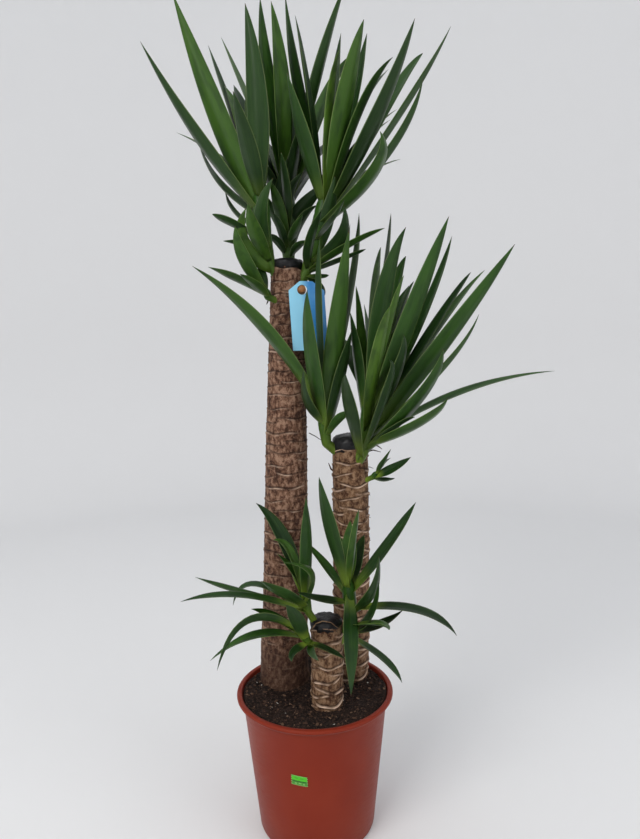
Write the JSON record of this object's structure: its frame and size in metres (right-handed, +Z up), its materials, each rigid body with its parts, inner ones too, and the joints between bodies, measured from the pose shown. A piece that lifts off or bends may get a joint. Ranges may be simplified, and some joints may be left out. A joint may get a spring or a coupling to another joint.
{
  "type": "potted cane plant",
  "caption": "Potted yucca: sawn canes with wax-sealed tops carry tufts of long sword-shaped leaves in a tapered nursery pot filled with soil.",
  "frame": {"origin": "centre of the pot's flat base, on the floor", "axes": "+Z up along the pot's axis, -Y towards the front (the side with the price sticker), +X to the viewer's right"},
  "size_m": [0.6822, 0.4381, 1.4594],
  "materials": {
    "pot_plastic": "smooth injection-moulded plastic with a soft sheen",
    "soil_mix": "loose dark potting soil",
    "bark": "rough ringed bark",
    "wax": "black sealing wax, satin",
    "leaf_green": "smooth leathery leaf, satin",
    "tag_sheet": "printed plastic sheet, bare",
    "sticker_paper": "fluorescent paper, bare"
  },
  "bodies": {
    "root": {"pot": "pot_plastic", "soil": "soil_mix", "tall_cane": "bark", "medium_cane": "bark", "short_cane": "bark", "tall_cap": "wax", "medium_cap": "wax", "short_cap": "wax", "shoot_tall_left": "leaf_green", "shoot_tall_low": "leaf_green", "shoot_tall_back": "leaf_green", "shoot_tall_right": "leaf_green", "shoot_medium_left": "leaf_green", "shoot_medium_right": "leaf_green", "shoot_medium_side": "leaf_green", "shoot_short_left": "leaf_green", "shoot_short_low": "leaf_green", "shoot_short_right": "leaf_green", "tag": "tag_sheet", "sticker": "sticker_paper"}
  },
  "joints": []
}
